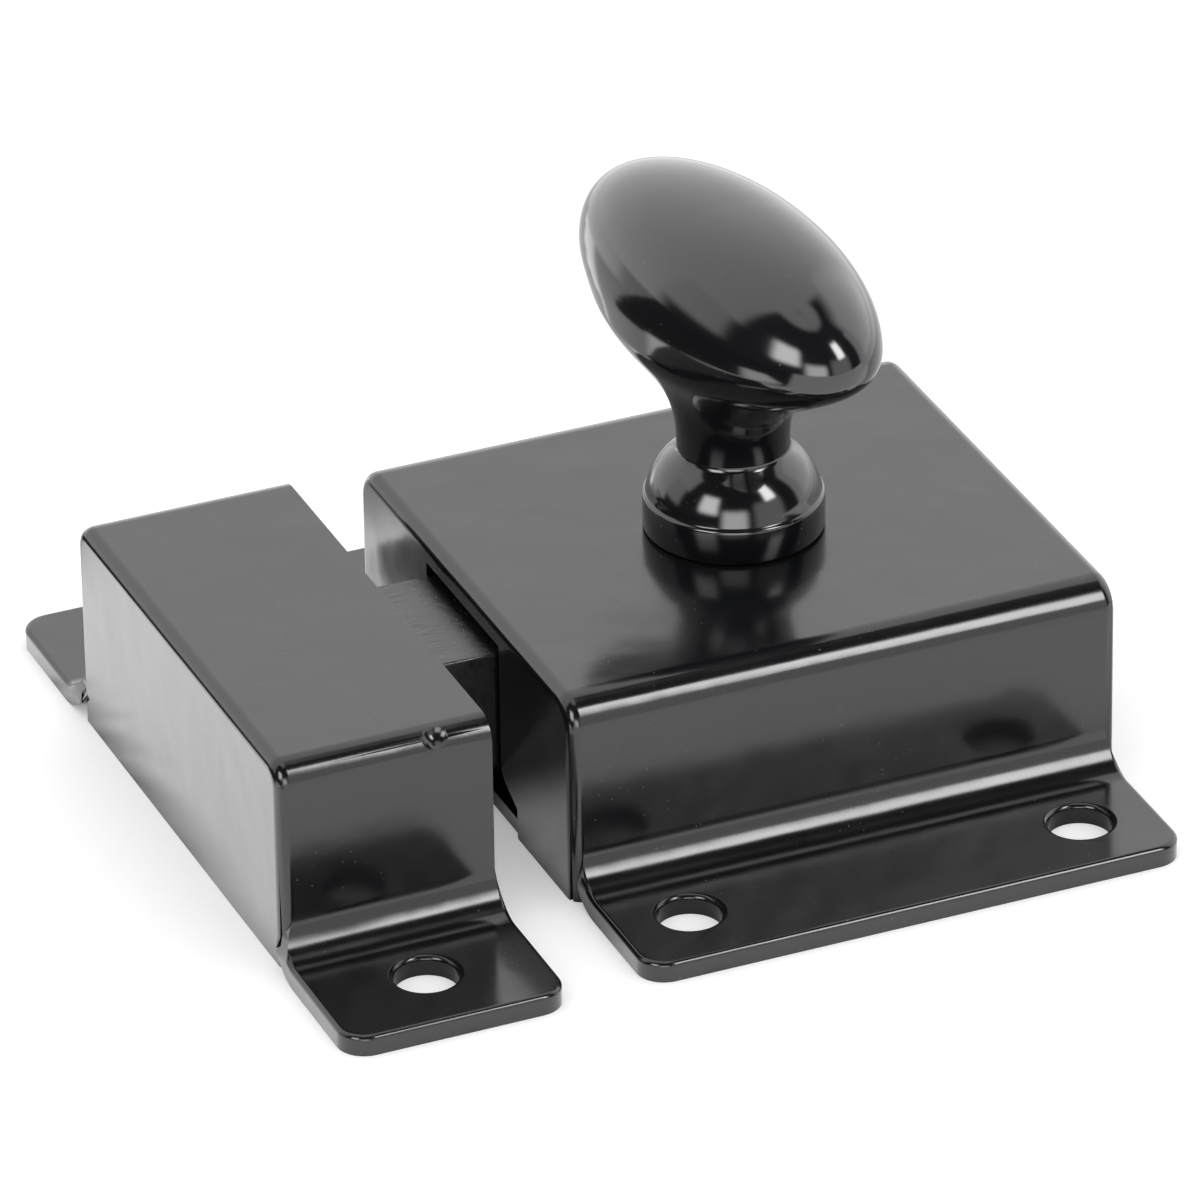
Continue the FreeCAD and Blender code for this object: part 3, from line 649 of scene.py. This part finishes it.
def set_material(name):
    """A material of the set, empty but for its output, whose glow is not sampled as a lamp."""
    material = bpy.data.materials.new(name)
    material.use_nodes = True
    material.cycles.emission_sampling = "NONE"
    tree = material.node_tree
    tree.nodes.clear()
    brightness = add_node(tree, "ShaderNodeAttribute", attribute_name="brightness").outputs["Fac"]
    return material, tree, add_node(tree, "ShaderNodeOutputMaterial"), brightness


def make_floor():
    """Round sheet of white paper whose rings lie close together near the latch."""
    steps = 120
    reaches = [2.0 * step for step in range(1, 50)] + [100 * 1.09 ** step for step in range(48)]
    verts, levels, faces = [Vector((0, 0, 0))], [0.0], []
    for reach in reaches:
        for step in range(steps):
            turn = 2 * math.pi * step / steps
            x, y = reach * math.cos(turn), reach * math.sin(turn)
            verts.append(Vector((x, y, 0)) * MM)
            levels.append(painted_table_glow(x, y))
    for step in range(steps):
        following = (step + 1) % steps
        faces.append((0, 1 + step, 1 + following))
        for row in range(len(reaches) - 1):
            near, far = 1 + row * steps, 1 + (row + 1) * steps
            faces.append((near + step, far + step, far + following, near + following))
    mesh = lit_mesh("table", verts, faces, levels)
    material, tree, output, level = set_material("table")
    path = add_node(tree, "ShaderNodeLightPath")
    gloss = path.outputs["Is Glossy Ray"]
    sheets = []
    for grey in (PAPER, PAPER_SHADED):
        sheet = add_node(tree, "ShaderNodeBsdfDiffuse")
        set_inputs(sheet, Color=(grey, grey, grey, 1))
        sheets.append(sheet.outputs["BSDF"])
    # Painted reflection and painted shade: the gloss sees the paper glow by its painted level, or the dark
    # sheet where that level is below SHADED_BELOW.
    shaded = maths(tree, "MULTIPLY", gloss, maths(tree, "LESS_THAN", level, SHADED_BELOW))
    glow = add_node(tree, "ShaderNodeEmission")
    mirrored = maths(tree, "MULTIPLY", gloss, maths(tree, "MAXIMUM", level, 0.0))
    seen = maths(tree, "MULTIPLY", path.outputs["Is Camera Ray"], PAPER_GLOW)
    link(tree, maths(tree, "ADD", mirrored, seen), glow.inputs["Strength"])
    total = add_node(tree, "ShaderNodeAddShader")
    link(tree, either(tree, shaded, *sheets), total.inputs[0])
    link(tree, glow.outputs["Emission"], total.inputs[1])
    link(tree, total.outputs["Shader"], output.inputs["Surface"])
    mesh.materials.append(material)
    put_in_scene("table", mesh)


def make_world():
    """White to the camera, soft light to the surfaces, and almost nothing to the gloss."""
    world = bpy.data.worlds.new("studio")
    bpy.context.scene.world = world
    world.use_nodes = True
    tree = world.node_tree
    tree.nodes.clear()
    output = add_node(tree, "ShaderNodeOutputWorld")
    path = add_node(tree, "ShaderNodeLightPath")
    skies = []
    for strength in (ROOM_LIGHT, ROOM_GLOSS, ROOM_WHITE):
        sky = add_node(tree, "ShaderNodeBackground")
        set_inputs(sky, Color=(1, 1, 1, 1), Strength=strength)
        skies.append(sky.outputs["Background"])
    room, gloss, white = skies
    unseen = either(tree, path.outputs["Is Glossy Ray"], room, gloss)
    link(tree, either(tree, path.outputs["Is Camera Ray"], unseen, white), output.inputs["Surface"])


def direction(azimuth, elevation):
    around, up = math.radians(azimuth), math.radians(elevation)
    return Vector((math.sin(around) * math.cos(up), math.cos(around) * math.cos(up), math.sin(up)))


def make_tent():
    """A wide dome of lit cloth that only the gloss sees."""
    places = [(column * TENT_COLUMN, TENT_FOOT + row * TENT_ROW)
              for row in range(TENT_ROWS) for column in range(TENT_COLUMNS)]
    verts = [direction(azimuth, min(elevation, POLE)) * TENT_RADIUS for azimuth, elevation in places]
    faces = []
    for row in range(TENT_ROWS - 1):
        for column in range(TENT_COLUMNS):
            following = (column + 1) % TENT_COLUMNS
            low, high = row * TENT_COLUMNS, (row + 1) * TENT_COLUMNS
            faces.append((low + column, low + following, high + following, high + column))
    mesh = lit_mesh("tent", verts, faces, [tent_brightness(*place) for place in places])
    material, tree, output, level = set_material("tent")
    cloth = add_node(tree, "ShaderNodeEmission")
    link(tree, level, cloth.inputs["Strength"])
    link(tree, cloth.outputs["Emission"], output.inputs["Surface"])
    mesh.materials.append(material)
    tent = put_in_scene("tent", mesh)
    tent.visible_camera = False
    tent.visible_diffuse = False
    tent.visible_shadow = False


make_floor()
make_world()
make_tent()
